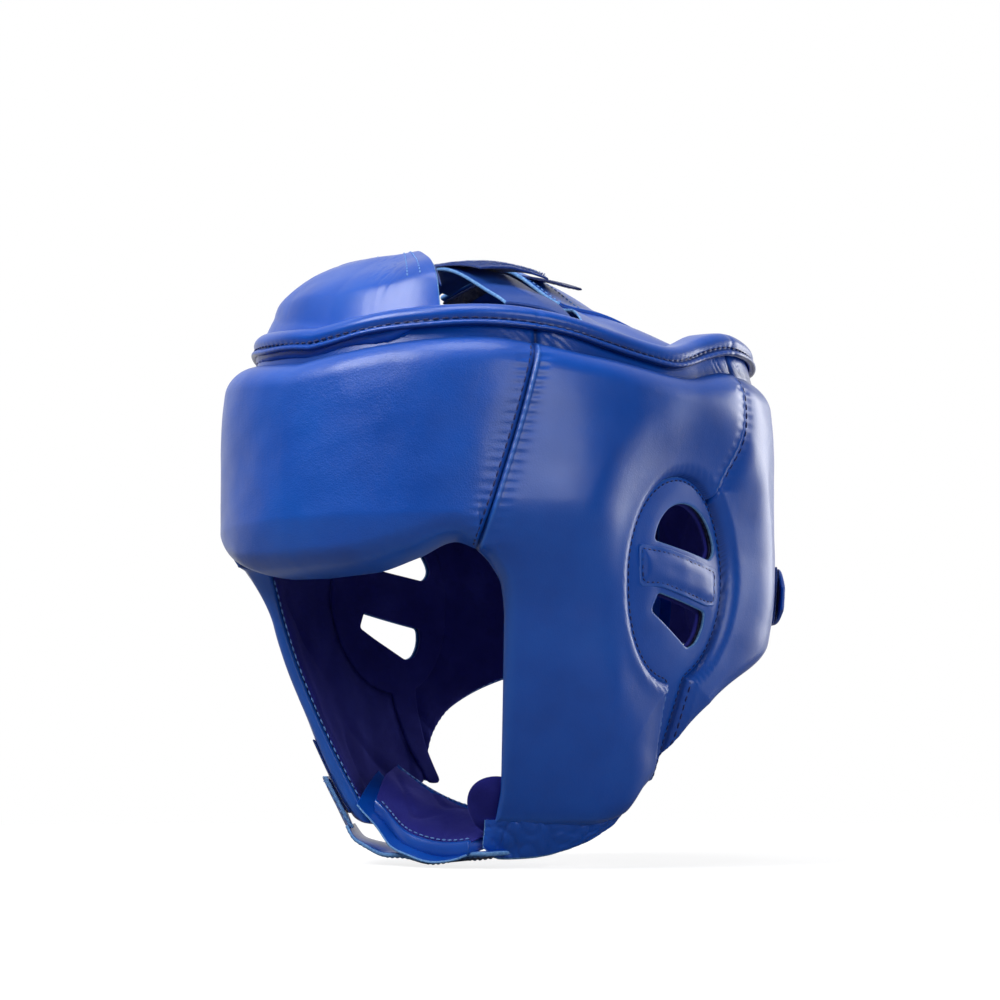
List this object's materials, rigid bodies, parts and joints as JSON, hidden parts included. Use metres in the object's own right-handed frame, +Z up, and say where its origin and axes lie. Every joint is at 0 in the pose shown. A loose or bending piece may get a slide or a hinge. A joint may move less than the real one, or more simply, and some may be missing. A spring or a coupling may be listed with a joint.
{
  "type": "boxing headgear",
  "caption": "Padded open-face leather boxing headgear with ear openings, hook-and-loop crown flaps, chin strap and nape strap.",
  "frame": {"origin": "middle of the head cavity, at the height of the bridges between the ear openings", "axes": "+Z up, face towards -Y, +X towards the wearer's left ear"},
  "size_m": [0.1984, 0.2482, 0.2479],
  "materials": {
    "leather": "semi-gloss fine grain",
    "trim_leather": "semi-gloss fine grain",
    "suede": "matt napped suede",
    "foam": "closed-cell foam",
    "hook_tape": "woven tape with hooks",
    "loop_tape": "brushed loop pile"
  },
  "bodies": {
    "root": {"chin_cup_cover": "leather", "chin_cup_foam": "foam", "chin_cup_lining": "suede", "chin_loop_patch": "loop_tape", "chin_strap_base": "leather", "collar_band": "trim_leather", "crown_front_base": "leather", "crown_left_gusset": "leather", "crown_rear_base": "leather", "crown_right_base": "leather", "crown_right_gusset": "leather", "forehead_cover": "leather", "forehead_liner_foam": "foam", "forehead_lining": "suede", "forehead_pad_foam": "foam", "left_back_cover": "leather", "left_back_liner_foam": "foam", "left_back_lining": "suede", "left_back_pad_foam": "foam", "left_ear_backing": "foam", "left_ear_bridge": "leather", "left_ear_lining": "suede", "left_ear_panel": "leather", "left_side_cover": "leather", "left_side_liner_foam": "foam", "left_side_lining": "suede", "left_side_pad_foam": "foam", "nape_loop_patch": "loop_tape", "nape_strap_anchor": "leather", "right_back_cover": "leather", "right_back_liner_foam": "foam", "right_back_lining": "suede", "right_back_pad_foam": "foam", "right_ear_backing": "foam", "right_ear_bridge": "leather", "right_ear_lining": "suede", "right_ear_panel": "leather", "right_side_cover": "leather", "right_side_liner_foam": "foam", "right_side_lining": "suede", "right_side_pad_foam": "foam", "rim_binding": "trim_leather"},
    "front_crown_flap": {"front_flap_backing": "leather", "front_flap_foam": "foam", "front_flap_cover": "leather", "front_flap_hook": "hook_tape"},
    "rear_crown_flap": {"rear_flap": "leather", "rear_flap_hook": "hook_tape"},
    "right_crown_flap": {"right_crown_strap": "leather", "right_crown_hook": "hook_tape"},
    "left_crown_flap": {"left_crown_strap": "leather", "left_crown_loop": "loop_tape"},
    "chin_strap_body": {"chin_strap": "leather"},
    "chin_strap_tab": {"chin_strap_end": "leather", "chin_end_hook": "hook_tape"},
    "nape_strap_body": {"nape_strap": "leather", "nape_strap_hook": "hook_tape"}
  },
  "joints": [
    {"name": "front_flap_hinge", "type": "hinge", "parent": "root", "child": "front_crown_flap", "pos_m": [0, -0.078, 0.12363], "axis": [1, 0, 0], "range_deg": [0, 100]},
    {"name": "rear_flap_hinge", "type": "hinge", "parent": "root", "child": "rear_crown_flap", "pos_m": [0, 0.079, 0.11144], "axis": [-1, 0, 0], "range_deg": [0, 100]},
    {"name": "right_flap_hinge", "type": "hinge", "parent": "root", "child": "right_crown_flap", "pos_m": [-0.061, -0.025, 0.1173], "axis": [0.0698, -0.9976, 0], "range_deg": [0, 100]},
    {"name": "left_flap_hinge", "type": "hinge", "parent": "root", "child": "left_crown_flap", "pos_m": [0.0615, -0.043, 0.10946], "axis": [-0.4472, -0.8944, 0], "range_deg": [0, 35]},
    {"name": "chin_strap_hinge", "type": "hinge", "parent": "root", "child": "chin_strap_body", "pos_m": [0.039, -0.033, -0.1118], "axis": [0, -1, 0], "range_deg": [0, 95]},
    {"name": "chin_tab_peel", "type": "hinge", "parent": "chin_strap_body", "child": "chin_strap_tab", "pos_m": [-0.05776, -0.03396, -0.0955], "axis": [0.6628, -0.7488, 0], "range_deg": [0, 80]},
    {"name": "nape_strap_peel", "type": "hinge", "parent": "root", "child": "nape_strap_body", "pos_m": [-0.03558, 0.12212, -0.001], "axis": [0, 0, 1], "range_deg": [0, 110]}
  ]
}
